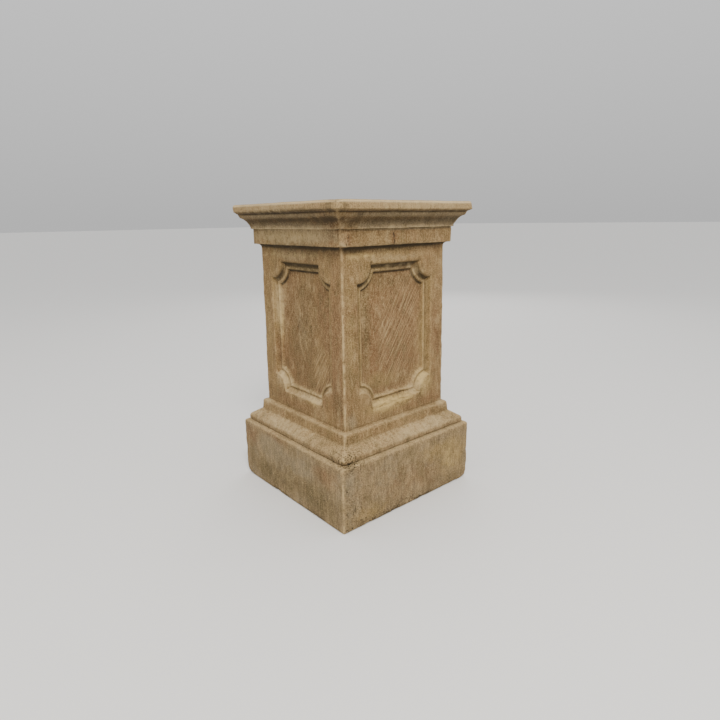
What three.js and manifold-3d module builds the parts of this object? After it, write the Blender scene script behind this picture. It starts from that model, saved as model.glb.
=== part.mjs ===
// A panelled garden pedestal, the square base for a column, urn or statue, cast in one piece of
// buff composition stone. Millimetres, +Z up, origin at the centre of the underside.
// From the ground up it has a plinth block, a quirk, a weathered ovolo, a bead, the die with one
// sunk panel on each side, a plain frieze and a cornice of lip, cove, fillet and slab.
import * as THREE from "three";
import { mergeVertices } from "three/addons/utils/BufferGeometryUtils.js";
import Module from "manifold-3d";

const wasm = await Module();
wasm.setup();

// Plinth block
const plinthWidth = 454;
const plinthHeight = 167;
const plinthFootWear = 4;
const plinthTopWear = 10;

// Quirk, the narrow groove over the plinth
const quirkHeight = 3;
const quirkDepth = 3;

// Ovolo, the broad weathered moulding
const ovoloWidth = 431;
const ovoloHeight = 32;
const ovoloFaceHeight = 12.5;
const ovoloShoulder = 6;

// Bead, the small moulding that the die stands on
const beadWidth = 375;
const beadHeight = 28;
const beadLean = 2;
const beadShoulder = 9;

// Die, slightly narrower at its head
const dieFootWidth = 348;
const dieHeadWidth = 340;
const dieHeight = 432;
const dieHeadCove = 10;

// Frieze, the plain band under the cornice
const friezeWidth = 368;
const friezeHeight = 38;
const friezeWear = 1.5;

// Cornice: lip, cove, fillet and slab
const lipWidth = 379;
const lipHeight = 4;
const coveReach = 19;
const coveHeight = 24;
const coveHollow = 3.9;
const filletHeight = 9;
const filletLean = 3.5;
const soffitRise = 5;
const slabWidth = 442.6;
const slabHeight = 20;
const slabLowerWear = 2;
const slabUpperWear = 6.5;

// Sunk panel, one on each side of the die
const panelSideMargin = 45.5;
const panelFootMargin = 44;
const panelHeadMargin = 42;
const panelCornerRadius = 37;
const panelEar = 5;
// Steps of the panel's moulding from the die's face inwards: the width taken and the depth reached
const hollowWidth = 11;
const hollowDepth = 11;
const stripWidth = 7;
const stripDrop = 1;
const stepWidth = 5.5;
const panelDepth = 18;

// The pedestal is square, with the same panel on every side
const sideCount = 4;

// Fineness of the round stretches
const curveSteps = 5;
const cornerArcSteps = 9;
const hollowSteps = 4;
const cutterReach = 12;
const mergeDistance = 0.001;

// Levels of the stacked members
const quirkBase = plinthHeight;
const ovoloBase = quirkBase + quirkHeight;
const beadBase = ovoloBase + ovoloHeight;
const dieBase = beadBase + beadHeight;
const friezeBase = dieBase + dieHeight;
const lipBase = friezeBase + friezeHeight;
const coveBase = lipBase + lipHeight;
const filletBase = coveBase + coveHeight;
const soffitBase = filletBase + filletHeight;
const slabBase = soffitBase + soffitRise;
const topLevel = slabBase + slabHeight;

// Half-width of the die's face at a level
function dieHalfWidth(level) {
  const share = (level - dieBase) / dieHeight;
  return (dieFootWidth + (dieHeadWidth - dieFootWidth) * share) / 2;
}

// Outline of one side from the underside's centre to the top's centre, as half-width and level
function mouldingOutline() {
  const outline = new THREE.Path();
  outline.moveTo(0, 0);
  drawPlinth(outline);
  drawOvoloAndBead(outline);
  drawDieAndFrieze(outline);
  drawCornice(outline);
  outline.lineTo(0, topLevel);
  return outline.getPoints(curveSteps);
}

// A plain block with worn arrises and the quirk cut in over it
function drawPlinth(outline) {
  const half = plinthWidth / 2;
  const quirkHalf = ovoloWidth / 2 - quirkDepth;
  outline.lineTo(half - plinthFootWear, 0);
  outline.quadraticCurveTo(half, 0, half, plinthFootWear);
  outline.lineTo(half, plinthHeight - plinthTopWear);
  outline.quadraticCurveTo(half, plinthHeight, half - plinthTopWear, plinthHeight);
  outline.lineTo(quirkHalf, quirkBase);
  outline.lineTo(quirkHalf, ovoloBase);
}

// The ovolo's upright edge, rounded shoulder and slope, then the bead's leaning side and shoulder
function drawOvoloAndBead(outline) {
  const half = ovoloWidth / 2;
  const shoulderLevel = ovoloBase + ovoloFaceHeight;
  const beadFoot = new THREE.Vector2(beadWidth / 2, beadBase);
  const shoulder = new THREE.Vector2(half, shoulderLevel);
  const slopeStart = beadFoot.clone().sub(shoulder).setLength(ovoloShoulder).add(shoulder);
  outline.lineTo(half, ovoloBase);
  outline.lineTo(half, shoulderLevel - ovoloShoulder);
  outline.quadraticCurveTo(shoulder.x, shoulder.y, slopeStart.x, slopeStart.y);
  outline.lineTo(beadFoot.x, beadFoot.y);
  const beadHead = beadWidth / 2 - beadLean;
  outline.lineTo(beadHead, dieBase - beadShoulder);
  outline.quadraticCurveTo(beadHead, dieBase, beadHead - beadShoulder, dieBase);
  outline.lineTo(dieFootWidth / 2, dieBase);
}

// The battered die, the small cove at its head and the frieze
function drawDieAndFrieze(outline) {
  const coveFoot = friezeBase - dieHeadCove;
  const dieHead = dieHeadWidth / 2;
  const half = friezeWidth / 2;
  outline.lineTo(dieHalfWidth(coveFoot), coveFoot);
  outline.quadraticCurveTo(dieHead, friezeBase, dieHead + dieHeadCove, friezeBase);
  outline.lineTo(half - friezeWear, friezeBase);
  outline.quadraticCurveTo(half, friezeBase, half, friezeBase + friezeWear);
  outline.lineTo(half, lipBase);
}

// The lip over the frieze, the hollow cove, the leaning fillet, the soffit and the slab
function drawCornice(outline) {
  const lipHalf = lipWidth / 2;
  const coveHead = lipHalf + coveReach;
  const soffitHalf = coveHead + filletLean;
  const slabHalf = slabWidth / 2;
  const inward = new THREE.Vector2(-coveHeight, coveReach).setLength(2 * coveHollow);
  const coveMiddle = new THREE.Vector2(lipHalf + coveReach / 2, coveBase + coveHeight / 2).add(inward);
  outline.lineTo(lipHalf, lipBase);
  outline.lineTo(lipHalf, coveBase);
  outline.quadraticCurveTo(coveMiddle.x, coveMiddle.y, coveHead, filletBase);
  outline.lineTo(soffitHalf, soffitBase);
  outline.lineTo(slabHalf - slabLowerWear, slabBase);
  outline.quadraticCurveTo(slabHalf, slabBase, slabHalf, slabBase + slabLowerWear);
  outline.lineTo(slabHalf, topLevel - slabUpperWear);
  outline.quadraticCurveTo(slabHalf, topLevel, slabHalf - slabUpperWear, topLevel);
}

// The outline swept round a square: a lathe of four sides, turned so that its flats face the axes
function squareLathe(outline) {
  const corners = outline.map((p) => new THREE.Vector2(p.x * Math.SQRT2, p.y));
  return new THREE.LatheGeometry(corners, sideCount, Math.PI / sideCount).rotateX(Math.PI / 2);
}

// The panel's edge set in by an offset, counterclockwise: a rectangle whose corners are bitten out
// by quarter discs, with a short straight ear between each disc and the side that it meets.
// An ear is used up once the offset is larger than it, and then the side cuts the arc
function panelEdge(halfWidth, halfHeight, offset) {
  const radius = panelCornerRadius + offset;
  const ear = Math.max(panelEar - offset, 0);
  const first = Math.asin(Math.max(offset - panelEar, 0) / radius);
  const sweep = Math.PI / 2 - 2 * first;
  const corner = [];
  for (let i = 0; i <= cornerArcSteps; i += 1) {
    const angle = first + (sweep * i) / cornerArcSteps;
    const across = panelEar + radius * Math.sin(angle);
    const down = panelEar + radius * Math.cos(angle);
    corner.push([halfWidth - across, halfHeight - down]);
  }
  const [rightEnd, upperEnd] = [corner[0], corner[cornerArcSteps]];
  corner.unshift([rightEnd[0] + ear, rightEnd[1]]);
  corner.push([upperEnd[0], upperEnd[1] + ear]);
  const upperLeft = corner.map(([x, y]) => [-x, y]).reverse();
  const lowerLeft = corner.map(([x, y]) => [-x, -y]);
  const lowerRight = corner.map(([x, y]) => [x, -y]).reverse();
  return [...corner, ...upperLeft, ...lowerLeft, ...lowerRight];
}

// The steps of the panel's moulding as pairs of offset and depth: a hollow, a strip and a last step
function panelSteps() {
  const steps = [];
  for (let i = 0; i <= hollowSteps; i += 1) {
    const angle = (Math.PI / 2) * (i / hollowSteps);
    steps.push([hollowWidth * (1 - Math.cos(angle)), hollowDepth * Math.sin(angle)]);
  }
  steps.push([hollowWidth + stripWidth, hollowDepth + stripDrop]);
  steps.push([hollowWidth + stripWidth + stepWidth, panelDepth]);
  return steps;
}

// A closed geometry through rings of equal count, from the outermost inwards, with flat ends
function loftRings(rings, levels) {
  const count = rings[0].length;
  const positions = rings.flatMap((ring, i) => ring.flatMap(([x, y]) => [x, y, levels[i]]));
  const index = [];
  for (let ring = 0; ring + 1 < rings.length; ring += 1) {
    for (let i = 0; i < count; i += 1) {
      const a = ring * count + i;
      const b = ring * count + ((i + 1) % count);
      index.push(a, a + count, b, b, a + count, b + count);
    }
  }
  const last = (rings.length - 1) * count;
  const capOf = (ring) => {
    const corners = ring.map(([x, y]) => new THREE.Vector2(x, y));
    return THREE.ShapeUtils.triangulateShape(corners, []);
  };
  capOf(rings[0]).forEach(([a, b, c]) => index.push(a, b, c));
  capOf(rings[rings.length - 1]).forEach(([a, b, c]) => index.push(last + a, last + c, last + b));
  const geometry = new THREE.BufferGeometry();
  geometry.setAttribute("position", new THREE.Float32BufferAttribute(positions, 3));
  geometry.setIndex(index);
  return geometry;
}

// The solid that one sunk panel takes out of the die, looking along its own +Z out of the face
function panelCutter() {
  const halfWidth = dieHeadWidth / 2 - panelSideMargin;
  const halfHeight = (dieHeight - panelFootMargin - panelHeadMargin) / 2;
  const steps = panelSteps();
  const outermost = panelEdge(halfWidth, halfHeight, 0);
  const rings = [outermost, ...steps.map(([offset]) => panelEdge(halfWidth, halfHeight, offset))];
  const levels = [cutterReach, ...steps.map(([, depth]) => -depth)];
  return loftRings(rings, levels);
}

// Places the cutter on the die's battered face, on the side that a turn about Z brings it to
function placedCutter(turn) {
  const centre = dieBase + panelFootMargin + (dieHeight - panelFootMargin - panelHeadMargin) / 2;
  const batter = Math.atan((dieFootWidth - dieHeadWidth) / 2 / dieHeight);
  const cutter = panelCutter();
  cutter.rotateX(Math.PI / 2 - batter);
  cutter.translate(0, -dieHalfWidth(centre), centre);
  return cutter.rotateZ(turn);
}

// A solid from a closed geometry, with its shared vertices merged and its empty triangles left out
function solidOf(geometry) {
  const bare = geometry.clone();
  bare.deleteAttribute("normal");
  bare.deleteAttribute("uv");
  const merged = mergeVertices(bare, mergeDistance);
  const corners = merged.index.array;
  const kept = [];
  for (let i = 0; i < corners.length; i += 3) {
    const [a, b, c] = [corners[i], corners[i + 1], corners[i + 2]];
    if (a !== b && b !== c && c !== a) {
      kept.push(a, b, c);
    }
  }
  const vertProperties = merged.getAttribute("position").array;
  const triVerts = new Uint32Array(kept);
  return new wasm.Manifold(new wasm.Mesh({ numProp: 3, vertProperties, triVerts }));
}

// A three.js geometry from a solid
function geometryOf(solid) {
  const mesh = solid.getMesh();
  const geometry = new THREE.BufferGeometry();
  geometry.setAttribute("position", new THREE.BufferAttribute(mesh.vertProperties, 3));
  geometry.setIndex(new THREE.BufferAttribute(mesh.triVerts, 1));
  geometry.computeVertexNormals();
  return geometry;
}

// The pedestal: the moulded body with a panel sunk in each of its four sides
function pedestalGeometry() {
  let solid = solidOf(squareLathe(mouldingOutline()));
  for (let side = 0; side < sideCount; side += 1) {
    const turn = (2 * Math.PI * side) / sideCount;
    solid = solid.subtract(solidOf(placedCutter(turn)));
  }
  return geometryOf(solid);
}

const castStone = new THREE.MeshStandardMaterial({ color: 0xa08763, roughness: 0.9, metalness: 0 });
const pedestal = new THREE.Mesh(pedestalGeometry(), castStone);
pedestal.name = "pedestal";

const part = new THREE.Group();
part.add(pedestal);

export default part;
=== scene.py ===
# A square panelled garden pedestal, cast in one piece of buff composition stone and weathered.
# Metres, +Z up, origin at the centre of the underside. The front is the side that faces -Y.
import math

import bpy
import numpy as np
from mathutils import Matrix, Vector


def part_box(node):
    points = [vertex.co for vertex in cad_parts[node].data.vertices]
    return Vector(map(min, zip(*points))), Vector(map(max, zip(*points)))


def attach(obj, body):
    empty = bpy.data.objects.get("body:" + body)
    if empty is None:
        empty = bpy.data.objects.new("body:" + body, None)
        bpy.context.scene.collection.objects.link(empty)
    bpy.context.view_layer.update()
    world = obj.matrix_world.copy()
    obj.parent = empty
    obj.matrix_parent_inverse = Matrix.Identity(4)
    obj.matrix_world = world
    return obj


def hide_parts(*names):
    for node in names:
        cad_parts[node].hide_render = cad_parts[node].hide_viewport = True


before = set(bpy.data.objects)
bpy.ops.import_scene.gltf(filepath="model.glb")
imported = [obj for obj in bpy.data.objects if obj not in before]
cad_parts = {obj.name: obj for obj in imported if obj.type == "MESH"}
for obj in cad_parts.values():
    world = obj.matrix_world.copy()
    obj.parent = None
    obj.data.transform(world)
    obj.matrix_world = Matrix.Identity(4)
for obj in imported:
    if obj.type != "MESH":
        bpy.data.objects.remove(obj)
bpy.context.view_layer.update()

MM = 0.001
LOW, HIGH = (np.array(corner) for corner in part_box("pedestal"))
PLINTH_HALF = HIGH[0] / MM
TOP_LEVEL = HIGH[2] / MM

# Levels of the members, in millimetres above the ground
PLINTH_TOP = 167
QUIRK_BASE = 168
OVOLO_BASE = 170
OVOLO_TURN = 183
BEAD_BASE = 202
DIE_BASE = 230
SMALL_COVE_BASE = 652
FRIEZE_BASE = 662
LIP_BASE = 700
COVE_BASE = 704
COVE_TURN = 721
FILLET_BASE = 728
SOFFIT_BASE = 737
SLAB_BASE = 742

# Half-widths of the members, and how far the first and the last row lie inside theirs
UNDERSIDE_INSET = 10
QUIRK_HALF = 212.5
OVOLO_HALF = 215.5
BEAD_HALF = 187.5
BEAD_HEAD_HALF = 185.5
DIE_FOOT_HALF = 174
DIE_HEAD_HALF = 170
SMALL_COVE_HALF = 180
FRIEZE_HALF = 184
LIP_HALF = 189.5
COVE_TURN_HALF = 193
COVE_HEAD_HALF = 208.5
SOFFIT_HALF = 212
SLAB_HALF = 221.3
TOP_INSET = 12

# How far the corners of the members are worn round, from the ground up
BASE_WEAR = [6, 7.5, 0.8, 0.8, 0.8, 6, 2.5, 8, 2]
FRIEZE_WEAR = [1.5, 0.8, 1.5]
SLAB_WEAR = [1, 2, 6.5]

# Sunk panel: its outline on the die's face and the steps of its moulding
PANEL_HALF = 124.5
PANEL_FOOT = 274
PANEL_HEAD = 620
CORNER_RADIUS = 37
CORNER_EAR = 5
LEAST_EAR = 1.2
HOLLOW_START = 0.8
HOLLOW_WIDTH = 11
HOLLOW_DEPTH = 11
STRIP_WIDTH = 7
STRIP_DROP = 1
STEP_WIDTH = 5.5
PANEL_DEPTH = 18
GROOVE_DEPTH = 1.2

# Fineness of the surface
SIDES = 4
ARRIS_COLUMNS = 3
MARGIN_COLUMNS = 5
PANEL_COLUMNS = 40
PANEL_ROWS = 64
CORNER_SEGMENTS = 16
EAR_SEGMENTS = 2
ROW_SPACING = 6
SLAB_SPACING = 3.5
SHORT_RUN = 2
LEAST_ROWS = 3
COVE_ROWS = 9
HOLLOW_ROWS = 8
FRAME_MARGIN = 14
FRAME_RINGS = 6
FIELD_RINGS = 7
FIELD_INSET = 62
FINE_SIDES = (0, 3)
POINT_VALUES = 5

# Reach in which relief is measured for fine edges and for broad hollows, relief and reach of a
# vertical arris, and how far a patch of colour reaches round it
NEAR_REACH = 3
FAR_REACH = 12
ARRIS_RELIEF = 1.7
ARRIS_REACH = 4.3
ROUND_REACH = 8

# The comb's scratches: their slope, distance and depth
COMB_SLOPE = math.radians(58)
COMB_PITCH = 5.8
COMB_DEPTH = 0.8
# How much longer their swells are along them, and the swells of their place and of their strength
# as height, length and seed, with the strength's mean and limits
COMB_STRETCH = 9
COMB_BEND = (1.3, 26, 51)
COMB_STRENGTH = (0.6, 14, 52)
COMB_MEAN = 0.5
COMB_LIMITS = (0, 1.4)
# A combed patch's strength in its middle before it is cut off at one, its loss over one reach, and
# how far out from the field a point may lie and still be combed
COMB_MIDDLE = 1.7
COMB_LOSS = 1.4
FIELD_SLACK = 2
# Combed patches: side, middle across and level, reach across and up, and strength
COMBED = [(0, 24, 440, 76, 145, 0.85), (0, 60, 540, 34, 60, 0.5), (0, -30, 380, 40, 60, 0.4),
          (3, 62, 345, 40, 66, 1.0), (3, -72, 560, 14, 28, 0.8), (3, -20, 470, 60, 90, 0.3)]


def straight(start, end, spacing=ROW_SPACING):
    """Rows on the straight line from start to end, evenly spaced, with the end left out."""
    start, end = np.array(start, float), np.array(end, float)
    length = float(np.linalg.norm(end - start))
    count = max(LEAST_ROWS if length > SHORT_RUN else 1, round(length / spacing))
    share = np.arange(count)[:, None] / count
    return start + (end - start) * share


def bend(start, corner, end, count=5):
    """Rows on the parabola that leaves start and reaches end in line with the corner between them,
    which is the mean of start, corner and end weighted by (1-t)^2, 2t(1-t) and t^2."""
    t = np.arange(count)[:, None] / count
    start, corner, end = (np.array(point, float) for point in (start, corner, end))
    return start * (1 - t) ** 2 + corner * 2 * t * (1 - t) + end * t ** 2


def worn_corner(before, corner, after, reach, count=4):
    """A bend round a corner, starting and ending at reach from it along its two sides."""
    before, corner, after = (np.array(point, float) for point in (before, corner, after))
    start = corner + (before - corner) * reach / np.linalg.norm(before - corner)
    end = corner + (after - corner) * reach / np.linalg.norm(after - corner)
    return bend(start, corner, end, count), start, end


def worn_line(points, reaches, spacing=ROW_SPACING):
    """Rows along a broken line whose corners are worn round: straight runs between the bends."""
    rows = []
    at = np.array(points[0], float)
    for before, corner, after, reach in zip(points, points[1:], points[2:], reaches):
        turn, start, end = worn_corner(before, corner, after, reach)
        rows += [straight(at, start, spacing), turn]
        at = end
    rows.append(straight(at, points[-1], spacing))
    return np.vstack(rows)


def die_half(level):
    """The die's half-width: it falls evenly from foot to head."""
    share = (level - DIE_BASE) / (FRIEZE_BASE - DIE_BASE)
    return DIE_FOOT_HALF + (DIE_HEAD_HALF - DIE_FOOT_HALF) * share


HOLE_FOOT = PANEL_FOOT - FRAME_MARGIN
HOLE_HEAD = PANEL_HEAD + FRAME_MARGIN


def rows_below_panel():
    """Plinth, quirk, ovolo, bead and the foot of the die, as (half-width, level)."""
    points = [
        (PLINTH_HALF - UNDERSIDE_INSET, 0), (PLINTH_HALF, 0), (PLINTH_HALF, PLINTH_TOP),
        (QUIRK_HALF, QUIRK_BASE), (QUIRK_HALF, OVOLO_BASE), (OVOLO_HALF, OVOLO_BASE),
        (OVOLO_HALF, OVOLO_TURN), (BEAD_HALF, BEAD_BASE), (BEAD_HEAD_HALF, DIE_BASE),
        (die_half(DIE_BASE), DIE_BASE), (die_half(HOLE_FOOT), HOLE_FOOT),
    ]
    return worn_line(points, BASE_WEAR)


def rows_above_panel():
    """The head of the die, frieze, lip, cove, fillet, soffit and slab, as (half-width, level)."""
    head_end = (die_half(SMALL_COVE_BASE), SMALL_COVE_BASE)
    head = worn_line([(die_half(HOLE_HEAD), HOLE_HEAD), head_end], [])
    frieze_start = (SMALL_COVE_HALF, FRIEZE_BASE)
    small_cove = bend(head_end, (DIE_HEAD_HALF, FRIEZE_BASE), frieze_start)
    frieze = worn_line(
        [frieze_start, (FRIEZE_HALF, FRIEZE_BASE), (FRIEZE_HALF, LIP_BASE), (LIP_HALF, LIP_BASE),
         (LIP_HALF, COVE_BASE)],
        FRIEZE_WEAR)
    fillet_start = (COVE_HEAD_HALF, FILLET_BASE)
    cove = bend((LIP_HALF, COVE_BASE), (COVE_TURN_HALF, COVE_TURN), fillet_start, COVE_ROWS)
    end = (SLAB_HALF - TOP_INSET, TOP_LEVEL)
    slab = worn_line(
        [fillet_start, (SOFFIT_HALF, SOFFIT_BASE), (SLAB_HALF, SLAB_BASE), (SLAB_HALF, TOP_LEVEL), end],
        SLAB_WEAR, SLAB_SPACING)
    return np.vstack([head, small_cove, frieze, cove, slab, [end]])


def body_rows():
    """All rows from the underside's edge to the top's edge, and the place of the panel's first row."""
    below = rows_below_panel()
    levels = np.linspace(HOLE_FOOT, HOLE_HEAD, PANEL_ROWS + 1)[:-1]
    beside = np.column_stack([die_half(levels), levels])
    return np.vstack([below, beside, rows_above_panel()]), len(below)


# Shortest and longest wave of a swell, in shares of its length
WAVE_SPAN = (0.75, 1.35)


def waves(points, length, seed, count=28):
    """An even random swell: sine waves of about one length in seeded directions, added up to a
    spread of about one."""
    rng = np.random.default_rng(seed)
    heading = rng.normal(size=(count, 3))
    heading /= np.linalg.norm(heading, axis=1)[:, None]
    speed = 2 * np.pi / (length * rng.uniform(*WAVE_SPAN, count))
    phase = rng.uniform(0, 2 * np.pi, count)
    return np.sin(points @ (heading * speed[:, None]).T + phase).sum(axis=1) * math.sqrt(2 / count)


def swelling(points, mean, *swells):
    """A mean with swells added to it, each given as height, length and seed."""
    for height, length, seed in swells:
        mean = mean + height * waves(points, length, seed)
    return mean


def section_relief(section, reach, step=0.5):
    """How far a section evened out over a reach stands outside each of its points, in millimetres:
    positive in hollows and negative on arrises. The section is resampled in even steps, each
    coordinate is averaged with the weights exp(-(distance/reach)^2/2), and what is left is measured
    along the normal on the section's right."""
    along = np.concatenate([[0], np.cumsum(np.linalg.norm(np.diff(section, axis=0), axis=1))])
    even = np.arange(0, along[-1], step)
    line = np.column_stack([np.interp(even, along, section[:, k]) for k in range(2)])
    width = int(3 * reach / step)
    weights = np.exp(-0.5 * (np.arange(-width, width + 1) * step / reach) ** 2)
    weights /= weights.sum()
    ends = np.pad(line, ((width, width), (0, 0)), mode="reflect", reflect_type="odd")
    evened = np.column_stack([np.convolve(ends[:, k], weights, mode="valid") for k in range(2)])
    heading = np.gradient(evened, axis=0)
    normal = np.column_stack([heading[:, 1], -heading[:, 0]])
    normal /= np.linalg.norm(normal, axis=1)[:, None]
    relief = ((evened - line) * normal).sum(axis=1)
    return np.interp(along, even, relief)


# Vertical arrises: mean radius at some levels, its least and most, its swells as height, length and
# seed, and the distance between the arrises in the swells, so that each has its own
DIE_RADIUS = 3
ARRIS_RADII = [(0, 2.5), (12, 3.5), (160, 4.5), (170, 4), (200, 4), (235, DIE_RADIUS), (662, DIE_RADIUS),
               (700, 2.5), (715, 3), (742, 3.5), (750, 5), (762, 8)]
RADIUS_LIMITS = (1.5, 12)
ARRIS_SWELLS = [(0.2, 60, 11), (0.12, 21, 12)]
ARRISES_APART = 500.0


def arris_radius(rows):
    """How far the vertical arrises are worn round at each row and corner: most on the plinth and
    the slab, least in the hollows, uneven along each arris."""
    level = rows[:, 1]
    base = np.interp(level, *zip(*ARRIS_RADII))
    corners = []
    for corner in range(SIDES):
        line = np.column_stack([np.full_like(level, ARRISES_APART * corner), 0 * level, level])
        swell = swelling(line, 0, *ARRIS_SWELLS)
        corners.append(np.clip(base * (1 + swell), *RADIUS_LIMITS))
    return np.column_stack(corners)


def side_columns():
    """Where each column of a side lies: its turn round an arris, and its share of the straight face
    between the arrises from -1 to 1, with the panel's columns evenly spaced in the middle."""
    turn = np.linspace(-math.pi / 4, 0, ARRIS_COLUMNS + 1)[:-1]
    frame_share = (PANEL_HALF + FRAME_MARGIN) / (DIE_FOOT_HALF - DIE_RADIUS)
    margin = np.linspace(-1, -frame_share, MARGIN_COLUMNS + 1)
    middle = np.linspace(-frame_share, frame_share, PANEL_COLUMNS + 1)[1:-1]
    share = np.concatenate([margin, middle, -margin[::-1]])
    turns = np.concatenate([turn, np.zeros(len(share)), -turn[::-1][:-1]])
    shares = np.concatenate([np.full(ARRIS_COLUMNS, -1), share, np.full(ARRIS_COLUMNS - 1, 1)])
    return turns, shares


def quarter_turned(x, y, side):
    """The point (x, y) of the front turned about the axis to another side."""
    for _ in range(side):
        x, y = -y, x
    return x, y


def body_points(rows):
    """The rows carried round the square. On a face y is minus the half-width and x runs between the
    two arrises, and round an arris both follow a circle of the arris's radius. The section's relief
    goes with them, less that of the vertical arris, which fades as exp(-(distance/reach)^2)."""
    half = rows[:, 0][:, None]
    radius = arris_radius(rows)
    near = section_relief(rows, NEAR_REACH)[:, None]
    far = section_relief(rows, FAR_REACH)[:, None]
    turns, shares = side_columns()
    points = []
    for side in range(SIDES):
        left = radius[:, side][:, None]
        right = radius[:, (side + 1) % SIDES][:, None]
        here = np.where(shares < 0, left, right)
        start, end = left - half, half - right
        x = start + (end - start) * (shares + 1) / 2 + here * np.sin(turns)
        y = -(half - here) - here * np.cos(turns)
        from_arris = half - np.minimum(np.abs(x), np.abs(y))
        vertical = ARRIS_RELIEF * np.exp(-(from_arris / ARRIS_REACH) ** 2)
        x, y = quarter_turned(x, y, side)
        z = np.broadcast_to(rows[:, 1][:, None], x.shape)
        points.append(np.stack([x, y, z, near - vertical, far + 0 * x], axis=2))
    return np.concatenate(points, axis=1)


def bitten_corner(offset):
    """The upper right corner of the panel's outline set in by offset, from the right side to the
    top: an ear, the arc of a disc bitten out of the corner, and an ear, as distances from the sides."""
    radius = CORNER_RADIUS + offset
    ear = max(CORNER_EAR - offset, LEAST_EAR)
    first = math.asin((offset - CORNER_EAR + ear) / radius)
    angle = np.linspace(first, math.pi / 2 - first, CORNER_SEGMENTS + 1)
    across = CORNER_EAR + radius * np.sin(angle)
    down = CORNER_EAR + radius * np.cos(angle)
    out = np.linspace(0, 1, EAR_SEGMENTS + 1)[:-1]
    lower_ear = offset + (across[0] - offset) * out
    upper_ear = down[-1] + (offset - down[-1]) * (out + 1 / EAR_SEGMENTS)
    across = np.concatenate([lower_ear, across, np.full(EAR_SEGMENTS, across[-1])])
    down = np.concatenate([np.full(EAR_SEGMENTS, down[0]), down, upper_ear])
    return across, down


def panel_outline(offset):
    """The whole outline set in by offset, counterclockwise from the middle of the lower left bite."""
    half_height = (PANEL_HEAD - PANEL_FOOT) / 2
    across, down = bitten_corner(offset)
    upper_right = np.column_stack([PANEL_HALF - across, half_height - down])
    middle = len(across) // 2
    upper_left = upper_right[::-1] * (-1, 1)
    lower_left = upper_right * (-1, -1)
    lower_right = upper_right[::-1] * (1, -1)
    spare = 2 * middle

    def run(start, end, count):
        return start + (end - start) * (np.arange(1, count)[:, None] / count)

    across_count = PANEL_COLUMNS - spare
    up_count = PANEL_ROWS - spare
    pieces = [
        lower_left[middle:], run(lower_left[-1], lower_right[0], across_count),
        lower_right, run(lower_right[-1], upper_right[0], up_count),
        upper_right, run(upper_right[-1], upper_left[0], across_count),
        upper_left, run(upper_left[-1], lower_left[0], up_count),
        lower_left[:middle],
    ]
    return np.vstack(pieces)


def rectangle(half_width, half_height, columns, rows):
    """A rectangle's edge, counterclockwise from its lower left corner, in even steps on each side."""
    x = np.linspace(-half_width, half_width, columns + 1)[:-1]
    y = np.linspace(-half_height, half_height, rows + 1)[:-1]
    foot = np.column_stack([x, np.full(columns, -half_height)])
    right = np.column_stack([np.full(rows, half_width), y])
    return np.vstack([foot, right, -foot, -right])


def field_edge(columns, rows):
    """The edge of the rectangle in the middle of the field."""
    half_height = (PANEL_HEAD - PANEL_FOOT) / 2
    return rectangle(PANEL_HALF - FIELD_INSET, half_height - FIELD_INSET, columns, rows)


def moulding_section():
    """The panel's moulding as pairs of offset and depth: a worn arris, a hollow that starts steep
    and ends in a narrow groove, a strip with a worn edge, and a last round step down to the field."""
    t = np.linspace(0, math.pi / 2, HOLLOW_ROWS)[1:]
    hollow_depths = (HOLLOW_DEPTH + GROOVE_DEPTH) * np.sin(t)
    hollow = np.column_stack([HOLLOW_WIDTH * (1 - np.cos(t)) + HOLLOW_START, hollow_depths])
    strip_end = HOLLOW_WIDTH + STRIP_WIDTH
    strip_depth = HOLLOW_DEPTH + STRIP_DROP
    arris = [(-3.8, 0), (-2, 0.2), (-0.7, 0.85), (0.3, 2)]
    strip = [(HOLLOW_WIDTH + 2, HOLLOW_DEPTH + 0.2), (HOLLOW_WIDTH + 3.2, HOLLOW_DEPTH - 0.1),
             (strip_end - 1.2, strip_depth - 0.9), (strip_end + 0.4, strip_depth),
             (strip_end + 1.4, strip_depth + 1.4), (strip_end + 2.1, strip_depth + 3)]
    step_end = strip_end + STEP_WIDTH
    foot = [(step_end - 1.2, PANEL_DEPTH - 0.8), (step_end + 0.6, PANEL_DEPTH - 0.1),
            (step_end + 3, PANEL_DEPTH)]
    return np.vstack([arris, hollow, strip, foot])


def ring_of(outline, depth, near=0.0, far=0.0):
    """A ring's outline with its depth and relief beside each point."""
    return np.column_stack([outline, np.tile([depth, near, far], (len(outline), 1))])


def panel_rings(hole):
    """Rings from the frame's rectangle, given as hole, through the moulding to just outside the
    field's inner rectangle, each as (across, up, depth, near relief, far relief)."""
    section = moulding_section()
    side_on = section[:, ::-1] * (-1, 1)
    near = section_relief(side_on, NEAR_REACH)
    far = section_relief(side_on, FAR_REACH)
    outer = panel_outline(section[0][0])
    rings = []
    for ring in range(1, FRAME_RINGS):
        rings.append(ring_of(hole + (outer - hole) * ring / FRAME_RINGS, 0.0))
    for (offset, depth), here, around in zip(section, near, far):
        rings.append(ring_of(panel_outline(offset), depth, here, around))
    last = rings[-1][:, :2]
    inner = field_edge(PANEL_COLUMNS, PANEL_ROWS)
    for ring in range(1, FIELD_RINGS):
        rings.append(ring_of(last + (inner - last) * ring / FIELD_RINGS, PANEL_DEPTH))
    return rings


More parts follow.
